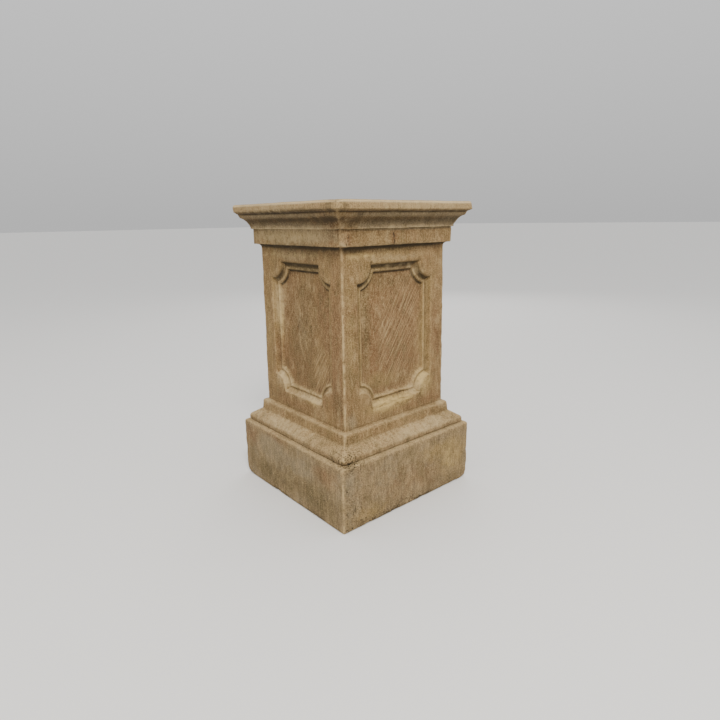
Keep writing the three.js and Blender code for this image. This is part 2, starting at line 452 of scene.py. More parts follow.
class Surface:
    """Points and faces gathered piece by piece. A point is (x, y, z, near relief, far relief)."""

    def __init__(self):
        self.points = []
        self.count = 0
        self.quads = []
        self.triangles = []

    def add_points(self, points):
        """Takes in points of any shape (..., 5) and gives back their numbers in that shape."""
        flat = points.reshape(-1, POINT_VALUES)
        numbers = np.arange(self.count, self.count + len(flat)).reshape(points.shape[:-1])
        self.points.append(flat)
        self.count += len(flat)
        return numbers

    def add_quads(self, a, b, c, d, keep=None):
        """Faces a-b-c-d, counterclockwise from outside, from four arrays of point numbers."""
        quads = np.stack([a, b, c, d], axis=-1)
        quads = quads[keep] if keep is not None else quads.reshape(-1, 4)
        self.quads.append(quads)

    def add_ring_quads(self, outer, inner):
        """Faces between two closed counterclockwise rings of the same count, inner within outer."""
        self.add_quads(outer, np.roll(outer, -1), np.roll(inner, -1), inner)

    def add_ring_halving(self, outer, inner):
        """Faces between a ring and one with twice as many points within it: three to a step."""
        a, b = outer, np.roll(outer, -1)
        first, middle, last = inner[0::2], inner[1::2], np.roll(inner, -2)[0::2]
        for corners in ((a, b, middle), (a, middle, first), (b, last, middle)):
            self.triangles.append(np.column_stack(corners))

    def add_grid(self, numbers, flip=False):
        """Faces of a grid of point numbers, first index to the right and second upwards."""
        a, b, c, d = numbers[:-1, :-1], numbers[1:, :-1], numbers[1:, 1:], numbers[:-1, 1:]
        if flip:
            self.add_quads(a, d, c, b)
        else:
            self.add_quads(a, b, c, d)


def ring_to_border(ring, columns, rows):
    """Point numbers of a grid whose border is the counterclockwise ring; the inside is -1."""
    grid = np.full((columns + 1, rows + 1), -1)
    grid[:-1, 0] = ring[:columns]
    grid[-1, :-1] = ring[columns:columns + rows]
    grid[:0:-1, -1] = ring[columns + rows:2 * columns + rows]
    grid[0, :0:-1] = ring[2 * columns + rows:]
    return grid


def stretched_inside(border, columns, rows):
    """Inner points of a grid stretched over its border: each lies between the four edges by its
    shares across and up, less the same mean of the four corners."""
    s = (np.arange(1, columns) / columns)[:, None, None]
    t = (np.arange(1, rows) / rows)[None, :, None]
    foot, head = border[1:-1, 0][:, None], border[1:-1, -1][:, None]
    left, right = border[0, 1:-1][None], border[-1, 1:-1][None]
    corners = (border[0, 0] * (1 - s) * (1 - t) + border[-1, 0] * s * (1 - t)
               + border[0, -1] * (1 - s) * t + border[-1, -1] * s * t)
    return foot * (1 - t) + head * t + left * (1 - s) + right * s - corners


def close_with_grid(surface, ring, columns, rows, flip=False):
    """Closes a counterclockwise ring with a grid stretched over it."""
    grid = ring_to_border(ring, columns, rows)
    everything = np.vstack(surface.points)
    border = everything[np.maximum(grid, 0)]
    inside = stretched_inside(border, columns, rows)
    grid[1:-1, 1:-1] = surface.add_points(inside)
    surface.add_grid(grid, flip)


def on_side(flat, side):
    """Panel points (across, up, depth, relief) put on a side's battered face."""
    level = flat[:, 1] + (PANEL_FOOT + PANEL_HEAD) / 2
    x, y = quarter_turned(flat[:, 0], -(die_half(level) - flat[:, 2]), side)
    return np.column_stack([x, y, level, flat[:, 3:]])


def add_panel(surface, body, hole_ring, side):
    """One sunk panel between the hole in the die's face and its own field."""
    hole_points = body.reshape(-1, POINT_VALUES)[hole_ring]
    x, _ = quarter_turned(hole_points[:, 0], hole_points[:, 1], (SIDES - side) % SIDES)
    hole = np.column_stack([x, hole_points[:, 2] - (PANEL_FOOT + PANEL_HEAD) / 2])
    outer = hole_ring
    rings = panel_rings(hole)
    for ring in rings:
        inner = surface.add_points(on_side(ring, side))
        surface.add_ring_quads(outer, inner)
        outer = inner
    fine = 2 if side in FINE_SIDES else 1
    columns, rows = PANEL_COLUMNS * fine, PANEL_ROWS * fine
    edge = ring_of(field_edge(columns, rows), PANEL_DEPTH)
    inner = surface.add_points(on_side(edge, side))
    if fine == 2:
        surface.add_ring_halving(outer, inner)
    else:
        surface.add_ring_quads(outer, inner)
    close_with_grid(surface, inner, columns, rows)


def pedestal_surface():
    """The whole closed surface: the body with a hole on each die face, the panels in the holes, and
    the underside and top as grids."""
    rows, first = body_rows()
    body = body_points(rows)
    surface = Surface()
    numbers = surface.add_points(body)
    per_side = numbers.shape[1] // SIDES
    skip = ARRIS_COLUMNS + MARGIN_COLUMNS
    last = first + PANEL_ROWS
    keep = np.ones((len(rows) - 1, per_side * SIDES), bool)
    for side in range(SIDES):
        start = side * per_side + skip
        keep[first:last, start:start + PANEL_COLUMNS] = False
    right = np.roll(numbers, -1, axis=1)
    surface.add_quads(numbers[:-1], right[:-1], right[1:], numbers[1:], keep)
    for side in range(SIDES):
        start = side * per_side + skip
        hole = numbers[first:last + 1, start:start + PANEL_COLUMNS + 1]
        ring = np.concatenate([hole[0, :-1], hole[:-1, -1], hole[-1, :0:-1], hole[:0:-1, 0]])
        add_panel(surface, body, ring, side)
    close_with_grid(surface, numbers[0], per_side, per_side, flip=True)
    close_with_grid(surface, numbers[-1], per_side, per_side)
    return surface


def all_triangles(surface):
    """Every face as triangles."""
    quads = np.vstack(surface.quads)
    halves = [quads[:, [0, 1, 2]], quads[:, [0, 2, 3]]]
    return np.vstack(halves + surface.triangles)


def point_normals(points, triangles):
    """Outward normals at the points: the sum of the normals of the triangles that meet there."""
    a, b, c = (points[triangles[:, i]] for i in range(3))
    facing = np.cross(b - a, c - a)
    normals = np.zeros_like(points)
    for i in range(3):
        for axis in range(3):
            normals[:, axis] += np.bincount(triangles[:, i], facing[:, axis], len(points))
    return normals / np.linalg.norm(normals, axis=1)[:, None]


# Knocks that show in the stone: centre in millimetres, reach and depth
KNOCKS = [
    ((-184, -184, 664), 7, 4), ((-192, -192, 706), 9, 3.5), ((-196, -196, 716), 6, 2.5),
    ((-221, -221, 758), 9, 3), ((190, -190, 702), 7, 2), ((-191, 191, 701), 7, 1.5),
    ((221, -221, 760), 8, 2), ((-221, 221, 745), 9, 2), ((-215, -215, 172), 8, 4),
    ((-227, -227, 3), 5, 0.8), ((-66, -174, 273), 10, 2.5), ((-44, -174, 272), 15, 4),
    ((-12, -174, 271), 18, 5), ((24, -174, 272), 15, 4), ((-173, 110, 396), 10, 2.5),
    ((-172, 98, 452), 9, 2), ((-171, 62, 620), 8, 2), ((-90, -171, 604), 8, 2),
    ((-221, -200, 760), 10, 2.5), ((-212, -227, 28), 7, 2), ((-150, -227, 2), 8, 1.8),
    ((-60, -227, 0), 10, 1.6), ((40, -227, 1), 8, 1.4), ((130, -227, 3), 8, 1.2),
    ((227, -227, 2), 12, 4), ((-227, 60, 2), 9, 1.5), ((-227, 227, 2), 12, 5),
    ((221, -150, 760), 12, 3), ((-120, 221, 758), 14, 3), ((227, 120, 166), 12, 3),
    ((174, 174, 420), 9, 3),
]


# Patches of colour on the faces: side, middle across and level, reach across and up, strength
PATCHES = {
    "pale": [
        (3, -108, 505, 15, 56, 1.5), (3, -106, 311, 16, 26, 1.1), (3, -80, 292, 22, 16, 0.9),
        (3, 26, 280, 45, 10, 0.9), (3, 62, 283, 10, 12, 0.9), (3, 106, 318, 14, 22, 0.5),
        (0, 92, 305, 24, 26, 0.85), (0, 70, 286, 18, 10, 0.9), (0, 72, 592, 22, 18, 0.4),
        (0, -20, 632, 95, 9, 0.6), (0, -174, 669, 12, 9, 1.0), (0, -176, 718, 24, 10, 0.4),
        (0, -190, 705, 9, 8, 0.3), (0, 168, 224, 22, 12, 0.9), (0, 60, 190, 160, 13, 0.6),
        (3, -70, 190, 150, 13, 0.7), (3, -168, 222, 26, 14, 0.8), (3, 150, 268, 5, 34, 0.7),
        (3, -40, 750, 120, 12, 0.6), (0, 60, 752, 170, 12, 0.7), (3, -20, 684, 170, 16, 0.95),
        (0, -22, 611, 8, 5, 0.9), (0, 24, 613, 13, 4, 0.7), (0, 52, 610, 7, 5, 0.5),
        (3, -30, 612, 12, 4, 0.6), (3, -94, 131, 32, 14, 0.5), (3, 60, 117, 28, 12, 0.5),
        # Two rows along the lip: a painted highlight
        (3, -20, 703, 190, 5, 0.9), (0, 40, 703, 150, 4.5, 0.7),
    ],
    "straw": [
        (0, -48, 268, 32, 12, 1.3), (0, 12, 270, 50, 10, 1.4), (0, -105, 641, 45, 7, 0.8),
        (0, 98, 306, 18, 26, 1.3), (3, -108, 470, 10, 70, 0.7), (3, 48, 270, 26, 8, 0.6),
        (0, 150, 90, 50, 40, 0.5), (3, -20, 640, 130, 9, 0.55),
    ],
    "yellow": [
        (0, -20, 266, 70, 16, 2.2), (0, 104, 302, 26, 28, 1.3), (3, -100, 300, 34, 30, 0.7),
        (0, 108, 430, 16, 95, 0.9), (0, -105, 640, 80, 14, 0.5), (3, -150, 450, 18, 170, 0.7),
        (3, -20, 684, 170, 18, 1.0), (0, -150, 470, 16, 160, 0.6), (3, 60, 340, 40, 45, 0.4),
        (0, -40, 330, 60, 26, 0.8), (0, 165, 85, 50, 50, 1.3), (0, 90, 118, 60, 24, 0.9),
        (0, -150, 28, 60, 26, 0.9),
    ],
    "brown": [
        (3, 148, 440, 24, 190, 1.2), (3, 0, 440, 130, 180, 0.45), (3, 120, 300, 50, 50, 0.6),
        (3, -60, 250, 110, 12, 0.7), (3, -112, 395, 15, 45, 0.9), (0, 70, 250, 110, 16, 0.8),
        (0, 25, 440, 80, 125, 1.25), (0, 150, 440, 16, 160, 0.5), (0, 10, 70, 140, 44, 0.5),
        (0, -170, 640, 20, 14, 0.6), (3, -60, 156, 60, 12, 0.9), (3, -190, 130, 36, 30, 0.9),
        (3, 160, 124, 46, 24, 0.9), (0, -21, 680, 8, 16, 1.3), (0, -161, 676, 8, 13, 0.9),
    ],
    "olive": [
        (0, -20, 318, 75, 20, 0.55), (0, 0, 578, 85, 24, 0.5), (3, 0, 470, 90, 170, 0.4),
        (0, -88, 470, 14, 130, 0.9), (3, -20, 420, 45, 120, 0.45), (3, -95, 46, 85, 34, 1.2),
        (3, 115, 56, 80, 36, 1.2), (3, 150, 300, 20, 40, 0.5), (0, 205, 40, 24, 40, 0.3),
        (3, 10, 606, 75, 8, 1.0),
    ],
    "grey": [
        (0, -205, 125, 20, 38, 1.0), (0, -150, 250, 26, 26, 0.8), (3, -60, 100, 80, 45, 0.8),
        (3, -94, 128, 50, 26, 1.4), (3, 57, 116, 50, 24, 1.4), (3, -25, 460, 30, 60, 0.5),
        (0, 30, 708, 190, 10, 1.5), (3, -30, 708, 190, 10, 1.2), (0, 20, 731, 200, 6, 1.5),
        (3, -20, 731, 200, 6, 1.5), (0, 60, 704, 150, 5, 0.8), (0, 170, 716, 60, 12, 0.8),
        (3, 0, 684, 190, 16, 1.4), (3, -20, 640, 140, 18, 0.7),
    ],
    # Dark patches: the bands under the slab, the frieze and the fillet, in the cove, in the panels'
    # heads and in the quirk are painted shade; those along the foot and at the slab's corners are stains
    "dark": [
        (3, -10, 741, 190, 6, 1.6), (3, 13, 646, 160, 16, 0.5), (3, 0, 659, 190, 7, 1.3),
        (0, 0, 659, 190, 7, 1.3), (0, -137, 652, 40, 10, 0.7), (3, 0, 722, 190, 7, 0.9),
        (0, 20, 606, 85, 7, 0.9), (3, 10, 606, 75, 7, 0.6), (0, -190, 50, 7, 16, 0.8),
        (0, -170, 12, 30, 12, 0.8), (0, -60, 3, 60, 7, 0.9), (0, 50, 4, 60, 8, 1.0),
        (3, -60, 3, 120, 7, 0.8), (3, 120, 3, 60, 8, 0.9), (3, 200, 20, 22, 16, 0.6),
        (0, -205, 165, 20, 7, 0.9), (0, -198, 750, 18, 9, 0.7), (3, 196, 752, 22, 9, 0.8),
        (3, 168, 722, 30, 10, 0.9), (0, -150, 728, 18, 7, 0.8),
    ],
    "pitted": [
        (0, -196, 176, 40, 26, 1.4), (3, 190, 176, 44, 22, 1.1), (0, -198, 50, 40, 66, 0.75),
        (0, -60, 8, 150, 18, 1.2), (0, 160, 175, 50, 20, 0.5), (3, -170, 195, 40, 30, 0.6),
        (3, 0, 645, 120, 14, 0.5), (0, -20, 655, 110, 10, 0.5), (3, -104, 440, 14, 12, 0.8),
        (3, -20, 110, 110, 50, 0.3), (0, 40, 340, 50, 40, 0.4),
    ],
}


def patched(points, patches):
    """How strongly some patches cover each point: exp(-(distance/reach)^2) on the face of each,
    added up. A patch near an arris also reaches a little round it."""
    strength = np.zeros(len(points))
    for side, across, level, reach_across, reach_up, most in patches:
        x, y = quarter_turned(points[:, 0], points[:, 1], (SIDES - side) % SIDES)
        round_arris = np.clip(np.abs(x) + y + ROUND_REACH, 0, None)
        away = np.hypot((x - across) / reach_across, (points[:, 2] - level) / reach_up)
        strength += most * np.exp(-away ** 2) * np.exp(-(round_arris / ROUND_REACH) ** 2)
    return strength


# Single holes and cracks: side, place across, level, half-width there, reach across, in and up
HOLES = [
    (3, 66, 630, 171, 2.6, 5, 3.0), (3, -39, 642, 171, 2.2, 5, 2.2), (0, -44, 325, 156, 2.2, 5, 4.0),
    (0, -22, 685, 184, 3.4, 6, 9.0), (0, -19.5, 670, 184, 2.8, 6, 8.0), (0, -158, 684, 184, 1.6, 6, 5.0),
    (0, -161, 675, 184, 1.6, 6, 4.0), (0, -166, 667, 184, 1.6, 6, 4.0), (0, -190, 58, 226, 1.8, 6, 10.0),
    (0, -157, 20, 226, 4.0, 6, 3.0), (0, -139, 54, 226, 1.8, 6, 2.4), (0, -166, 38, 226, 2.4, 6, 2.0),
    (0, 158, 236, 186, 2.0, 8, 5.0), (0, -216, 9, 226, 6, 8, 2.6), (0, -200, 8, 226, 3.6, 8, 2.6),
    (0, -69, 5, 226, 5, 8, 2.4), (0, -23, 4, 226, 3.6, 8, 2.0), (0, 31, 8, 226, 3.0, 8, 3.0),
    (0, 65, 7, 226, 6, 8, 2.0), (0, -215, 107, 226, 3.4, 6, 2.4),
]


def combed(points):
    """How strongly the comb has marked each panel field: one in the middle of each combed patch,
    falling evenly to nothing with the distance from it in units of the patch's two reaches."""
    strength = np.zeros(len(points))
    for side, across, level, reach_across, reach_up, most in COMBED:
        x, y = quarter_turned(points[:, 0], points[:, 1], (SIDES - side) % SIDES)
        z = points[:, 2]
        on_field = (np.abs(x) < PANEL_HALF) & (y < 0) & (y > -(die_half(z) - PANEL_DEPTH + FIELD_SLACK))
        away = np.hypot((x - across) / reach_across, (z - level) / reach_up)
        strength += np.where(on_field, np.clip(COMB_MIDDLE - COMB_LOSS * away, 0, 1) * most, 0)
    return strength


def comb_scratches(points):
    """Depth of the comb's scratches: a wave across the comb's strokes, bent a little by a slow
    swell, under a patchy strength. The strokes climb to the right on the front and left sides."""
    x, y, z = points.T
    right = np.where(np.abs(y) > np.abs(x), x, -y)
    across = z * math.cos(COMB_SLOPE) - right * math.sin(COMB_SLOPE)
    along = right * math.cos(COMB_SLOPE) + z * math.sin(COMB_SLOPE)
    stretched = np.column_stack([across, along / COMB_STRETCH, 0 * x])
    phase = swelling(stretched, 2 * np.pi * across / COMB_PITCH, COMB_BEND)
    strength = np.clip(swelling(stretched, COMB_MEAN, COMB_STRENGTH), *COMB_LIMITS)
    return combed(points) * strength * (0.5 - 0.5 * np.cos(phase)) ** 2 * COMB_DEPTH


# The cast surface: how far it lies inside the CAD on average, and its swells as height, length and
# seed; on the arrises the share of the rubbing and its parts as share, length, seed and least wave
SURFACE_SINK = 0.4
SURFACE_SWELLS = [(0.2, 150, 21), (0.12, 47, 22), (0.07, 19, 23)]
RAISED_RELIEF = 1.2
RUB_SHARE = 0.45
RUBS = [(1, 34, 31, 0.4), (0.5, 11, 32, 0.2)]
MOST_RUB = 2
# Raggedness of the knocks' outlines
RAGGED_SWELL = (0.3, 8, 41)
RAGGED_LIMITS = (0.5, 1.6)


def ramp(values, low, high):
    """Nothing at low and one at high, even between them and level beyond them."""
    return np.clip((values - low) / (high - low), 0, 1)


def weathered(points, near, triangles):
    """The cast surface with its wear: a swell in three lengths, arrises rubbed back unevenly, the
    comb's scratches, and knocks, each of which sinks the surface along its normal and fades as
    exp(-(distance/reach)^2)."""
    normals = point_normals(points, triangles)
    raised = ramp(-near, 0, RAISED_RELIEF)
    sink = swelling(points, SURFACE_SINK, *SURFACE_SWELLS)
    rub = sum(share * np.clip(waves(points, length, seed) - least, 0, MOST_RUB)
              for share, length, seed, least in RUBS)
    sink = sink + RUB_SHARE * raised * rub + comb_scratches(points)
    ragged = np.clip(swelling(points, 1, RAGGED_SWELL), *RAGGED_LIMITS)
    for centre, reach, depth in KNOCKS:
        distance = np.linalg.norm(points - centre, axis=1) / reach
        sink = sink + depth * np.exp(-(distance * ragged) ** 2)
    moved = points - normals * sink[:, None]
    return np.clip(moved, LOW / MM, HIGH / MM)


def make_mesh(name, surface, points, attributes):
    """A Blender object from a surface, with its points in metres and its named point values."""
    faces = np.vstack(surface.quads).tolist() + np.vstack(surface.triangles).tolist()
    mesh = bpy.data.meshes.new(name)
    mesh.from_pydata((points * MM).tolist(), [], faces)
    mesh.shade_smooth()
    for key, values in attributes.items():
        layer = mesh.attributes.new(key, "FLOAT", "POINT")
        layer.data.foreach_set("value", values.astype(np.float32))
    mesh.validate()
    piece = bpy.data.objects.new(name, mesh)
    bpy.context.scene.collection.objects.link(piece)
    return piece


# Sockets of a colour mix
MIX_SHARE, MIX_UNDER, MIX_OVER, MIXED = 0, 6, 7, 2


BUFF = (0.195, 0.117, 0.047, 1)
LIGHT_BUFF = (0.27, 0.17, 0.074, 1)
PINK_BROWN = (0.188, 0.095, 0.041, 1)
YELLOW_BUFF = (0.30, 0.2, 0.074, 1)
CREAM = (0.46, 0.33, 0.165, 1)
PALE_CREAM = (0.48, 0.36, 0.19, 1)
STRAW = (0.56, 0.4, 0.16, 1)
# Pale cream of the painted highlight on the slab's upper edge
RIM_HIGHLIGHT = (0.62, 0.485, 0.29, 1)
OLIVE = (0.105, 0.077, 0.03, 1)
GREY_BUFF = (0.255, 0.2, 0.12, 1)
# Dark brown of soot and dirt, also used for painted shade
SOOT_AND_SHADE_BROWN = (0.032, 0.0225, 0.011, 1)

# Textures: stretch along the axes, scale per metre, detail, roughness and distortion
EVEN = (1, 1, 1)
TEXTURES = {
    "ragged": (EVEN, 55, 6, 0.66),
    "broad": (EVEN, 7, 4, 0.55),
    "pinks": ((1, 1, 0.7), 15, 5, 0.6, 0.3),
    "yellows": ((0.9, 1.1, 0.5), 13, 5, 0.6, 0.3),
    "blotches": (EVEN, 20, 8, 0.72),
    "flakes": (EVEN, 90, 7, 0.72),
    "wisps": ((1, 1, 0.12), 60, 4, 0.55),
    "threads": ((1, 1, 0.16), 240, 3, 0.5),
    "grime": ((1, 1, 0.6), 30, 8, 0.7),
    "mottle": (EVEN, 330, 5, 0.7),
    "stain": (EVEN, 34, 5, 0.62),
    "rubbing_and_highlight": (EVEN, 60, 6, 0.7),
    "sparse": (EVEN, 27, 3, 0.5),
    "crowded": (EVEN, 70, 3, 0.5),
    "grain": (EVEN, 520, 5, 0.65),
}

# Edges of the patches of colour: strength at which a patch starts and is full, and raggedness
PATCH_EDGES = {
    "brown": (0.1, 0.9, 0.7),
    "olive": (0.0, 1.0, 0.5),
    "grey": (0.3, 0.9, 0.5),
    "yellow": (0.2, 0.9, 0.6),
    "dark": (0.35, 0.95, 0.9),
    "pale": (0.15, 0.95, 0.9),
    "straw": (0.2, 1.1, 0.9),
}
EDGE_FADE = (0.02, 0.2)

# Factors: a name stands for its value, or for the patches of that kind with their edges. A name with
# two numbers grows from nothing at the first to one at the second, or else between the last two.
RAGGED = ("ragged", 0.3, 0.7, -0.5, 0.5)
FLAKED = ("flakes", 0.4, 0.54, 0.35, 1)
STAINED = ("stain", 0.3, 0.62, 0.55, 1)
ON_PLINTH = ("level", 0.2, 0.15)
ON_SLAB = ("level", 0.738, 0.744)
ON_RIM = ("level", 0.7545, 0.759)
BELOW_HEAD = ("level", 0.55, 0.7, 1, 0.32)

# Layers of colour in the order in which they lie: a colour and the factors of its share. The stone's
# own layers are soft areas, panel fields and mouldings, the plinth, the slab and its dirty top, and
# stains.
STONE_LAYERS = [
    (LIGHT_BUFF, ("broad", 0.38, 0.66)),
    (PINK_BROWN, "field", 0.75),
    (YELLOW_BUFF, "moulding", 0.45),
    (PINK_BROWN, ("pinks", 0.5, 0.66), 0.6),
    (YELLOW_BUFF, ("yellows", 0.5, 0.68), 0.45),
    (GREY_BUFF, ON_PLINTH, 0.45),
    (GREY_BUFF, ON_PLINTH, ("blotches", 0.5, 0.6, 0, 0.5)),
    (OLIVE, ON_PLINTH, ("blotches", 0.47, 0.38, 0, 0.4)),
    (CREAM, ON_SLAB, 0.42),
    (PINK_BROWN, "brown", 0.75),
    (OLIVE, "bed", ("broad", 0.4, 0.62, 0.2, 0.85)),
    (OLIVE, "olive", 0.7),
    (GREY_BUFF, "grey", 0.7),
    (YELLOW_BUFF, "yellow", 0.75),
]

# Upward slopes made paler, partly washed by rain and partly a painted top light: factors of their share,
# and of the yellow in their colour
WASHED_AND_TOPLIT = ["washed_and_toplit", ("broad", 0.35, 0.6, 0.45, 0.85), FLAKED, ("moulding", 0, 1, 1, 1.35)]
YELLOW_WASH_AND_TOPLIGHT = ("yellow", 0.3, 1.3)

# Over the wash and painted top light: upright wisps and threads, grime and a fine mottle, each darker
# and lighter than the stone, then dirt with painted shade in the hollows, painted shade under the
# ledges, painted shade and stains in the dark patches, then pale places, of which the last are the
# slab's upper edge as a painted highlight and the arrises, rubbed and with a painted highlight, then
# pits darkened with dirt and painted shade, and the comb's marks, the raised ones with a painted
# highlight and the sunk ones with painted shade
SURFACE_LAYERS = [
    (LIGHT_BUFF, ("wisps", 0.52, 0.72, 0, 0.22)),
    (OLIVE, ("wisps", 0.48, 0.3, 0, 0.22)),
    (SOOT_AND_SHADE_BROWN, ("threads", 0.5, 0.3, 0, 0.32)),
    (CREAM, ("threads", 0.5, 0.72, 0, 0.32)),
    (OLIVE, ("grime", 0.48, 0.36, 0, 0.42)),
    (CREAM, ("grime", 0.53, 0.66, 0, 0.42)),
    (SOOT_AND_SHADE_BROWN, ("mottle", 0.34, 0.49, 0.58, 0)),
    (CREAM, ("mottle", 0.51, 0.66, 0, 0.56)),
    # Dirt with painted shade in the hollows and the deep hollows, most on faces that turn downwards
    (SOOT_AND_SHADE_BROWN, ("hollow", 0.05, 0.6), STAINED, 0.95),
    (SOOT_AND_SHADE_BROWN, ("deep", 0.03, 0.75), STAINED, 0.45),
    # Painted shade on faces that turn downwards
    (SOOT_AND_SHADE_BROWN, "shade_below", 0.42),
    # Dark patches: painted shade under the ledges, stains along the foot
    (SOOT_AND_SHADE_BROWN, "dark", 0.6),
    # Pale patches, stronger on arrises and upward faces, where they add a painted highlight
    (PALE_CREAM, "pale", ("exposed_and_lit", 0.1, 0.6, 0.5, 0.95), FLAKED),
    (STRAW, "straw", FLAKED, 0.7),
    # Painted highlight along the slab's upper edge, kept off the top
    (RIM_HIGHLIGHT, ON_RIM, ("broad", 0.35, 0.6, 0.5, 0.95), ("bed", 0, 1, 1, 0)),
    # Arrises paler: rubbed wear with a painted highlight, less towards the head
    (CREAM, ("arris", 0.2, 0.95), ("rubbing_and_highlight", 0.4, 0.58, 0.08, 0.85), BELOW_HEAD),
    # Pits, holes and cracks darkened: dirt with painted shade
    (SOOT_AND_SHADE_BROWN, "pits", 0.85),
    # The comb's raised marks lighter as a painted highlight and its sunk marks darker as painted shade
    (CREAM, "raised", 0.55),
    (SOOT_AND_SHADE_BROWN, "sunk", 0.5),
]

# Round pits: cells per metre, and distance of the rim and of the floor from the middle of a cell
SMALL_PITS = (125, 0.34, 0.16)
TINY_PITS = (240, 0.4, 0.2)
SPARSE_PITS = [("sparse", 0.62, 0.7), 0.2]
CROWDED_PITS = ["pitted", ("crowded", 0.36, 0.52)]
# Holes and cracks wander a little: cells per metre and reach in metres
DRIFT_SCALE = 130
DRIFT_REACH = 0.006
HOLE_EDGE = (1.0, 0.35)

# The comb's strokes: stretch along a stroke, then scale, detail and roughness, and values between
# which a mark is raised or sunk
STROKE_STRETCH = (1, 1, 0.04)
STROKE_TEXTURE = (300, 3, 0.5)
RAISED_STROKES = (0.47, 0.62)
SUNK_STROKES = (0.46, 0.3)

# The stone's sheen and its roughness, which follows the finest grain
SHEEN = 0.2
ROUGHNESS = ("grain", 0.3, 0.7, 0.84, 0.97)
# Height in metres that each mark adds to the fine relief
RELIEF = {"grain": 0.0006, "mottle": 0.0014, "pits": -0.0018, "raised": 0.0008, "wisps": 0.0008,
          "grime": 0.0038}


class Stone:
    """The nodes of the stone. Its named values are the level, the textures, the values of the mesh's
    points, and the pits and the comb's marks, each made once."""

    def __init__(self, material):
        material.use_nodes = True
        self.tree = material.node_tree
        self.tree.nodes.clear()
        self.place = self.add("ShaderNodeTexCoord")["Object"]
        self.x, self.y, self.level = self.add("ShaderNodeSeparateXYZ", {0: self.place})
        self.made = {"level": self.level}
        # Arrises and upward faces, where pale marks also stand in for light
        self.made["exposed_and_lit"] = self.maths("MAXIMUM", self.value("arris"), self.value("washed_and_toplit"))
        self.made["pits"] = self.pits_and_cracks()
        self.made["raised"], self.made["sunk"] = self.comb_marks()

    def add(self, kind, inputs={}, **settings):
        """A new node's outputs. Each input is set to a plain value or joined to another output."""
        node = self.tree.nodes.new(kind)
        for key, value in settings.items():
            setattr(node, key, value)
        for key, value in inputs.items():
            if isinstance(value, bpy.types.NodeSocket):
                self.tree.links.new(value, node.inputs[key])
            else:
                node.inputs[key].default_value = value
        return node.outputs

    def mapped(self, source, scale, turn=(0, 0, 0)):
        inputs = {"Vector": source, "Scale": scale, "Rotation": turn}
        return self.add("ShaderNodeMapping", inputs, vector_type="POINT")["Vector"]

    def noise(self, vector, scale, detail, roughness, distortion=0):
        inputs = {"Vector": vector, "Scale": scale, "Detail": detail, "Roughness": roughness,
                  "Distortion": distortion}
        return self.add("ShaderNodeTexNoise", inputs)["Fac"]

    def spread(self, value, low, high, out_low=0, out_high=1):
        """From out_low at low to out_high at high, evenly, and level beyond them."""
        inputs = {"Value": value, "From Min": low, "From Max": high, "To Min": out_low,
                  "To Max": out_high}
        return self.add("ShaderNodeMapRange", inputs, clamp=True)["Result"]

    def maths(self, operation, a, b):
        return self.add("ShaderNodeMath", {0: a, 1: b}, operation=operation)[0]

    def vector_maths(self, operation, inputs):
        return self.add("ShaderNodeVectorMath", inputs, operation=operation)

    def mix(self, share, under, over):
        inputs = {MIX_SHARE: share, MIX_UNDER: under, MIX_OVER: over}
        return self.add("ShaderNodeMix", inputs, data_type="RGBA")[MIXED]

    def value(self, name):
        """The output for a name, made at its first use."""
        if name not in self.made and name in TEXTURES:
            stretch, *settings = TEXTURES[name]
            self.made[name] = self.noise(self.mapped(self.place, stretch), *settings)
        elif name not in self.made:
            source = self.add("ShaderNodeAttribute", attribute_name=name, attribute_type="GEOMETRY")
            self.made[name] = source["Fac"]
        return self.made[name]

    def factor(self, factor):
        """The output for a factor, which is a number, a name or a name with its numbers."""
        if isinstance(factor, tuple):
            name, *limits = factor
            return self.spread(self.value(name), *limits)
        if factor in PATCH_EDGES:
            return self.edged(factor)
        return self.value(factor) if isinstance(factor, str) else factor

    def product(self, factors):
        """All the factors multiplied together."""
        result, *others = [self.factor(factor) for factor in factors]
        for other in others:
            result = self.maths("MULTIPLY", result, other)
        return result

    def layered(self, colour, layers):
        """A colour with the layers over it."""
        for over, *factors in layers:
            colour = self.mix(self.product(factors), colour, over)
        return colour

    def edged(self, kind):
        """The patches of one kind, whose edges are broken up by the stone's texture."""
        low, high, rough = PATCH_EDGES[kind]
        strength = self.value(kind)
        broken = self.maths("ADD", strength, self.product([RAGGED, rough]))
        return self.maths("MULTIPLY", self.spread(broken, low, high), self.spread(strength, *EDGE_FADE))

    def specks(self, scale, rim, core):
        """Small round pits in the cells of a scatter of points."""
        cells = self.add("ShaderNodeTexVoronoi", {"Vector": self.place, "Scale": scale}, feature="F1")
        return self.spread(cells["Distance"], rim, core)

    def drifted(self):
        """The place moved by up to the drift's reach, so that outlines wander."""
        drift = self.add("ShaderNodeTexNoise", {"Vector": self.place, "Scale": DRIFT_SCALE})
        wander = self.vector_maths("SCALE", {0: drift["Color"], "Scale": DRIFT_REACH})
        return self.vector_maths("ADD", {0: self.place, 1: wander[0]})[0]

    def hole(self, place, side, across, level, half, wide, inward, up):
        """One in the middle of a hole in a side's face, falling to nothing at its three reaches. Its
        centre is moved by the drift's mean, which is half of its reach."""
        centre = Vector((*quarter_turned(across, -half, side), level)) * MM
        reach = Vector((wide, inward, up) if side % 2 == 0 else (inward, wide, up)) * MM
        drift = Vector((DRIFT_REACH, DRIFT_REACH, DRIFT_REACH)) / 2
        offset = self.vector_maths("SUBTRACT", {0: place, 1: centre + drift})
        scaled = self.vector_maths("DIVIDE", {0: offset[0], 1: reach})
        return self.spread(self.vector_maths("LENGTH", {0: scaled[0]})["Value"], *HOLE_EDGE)

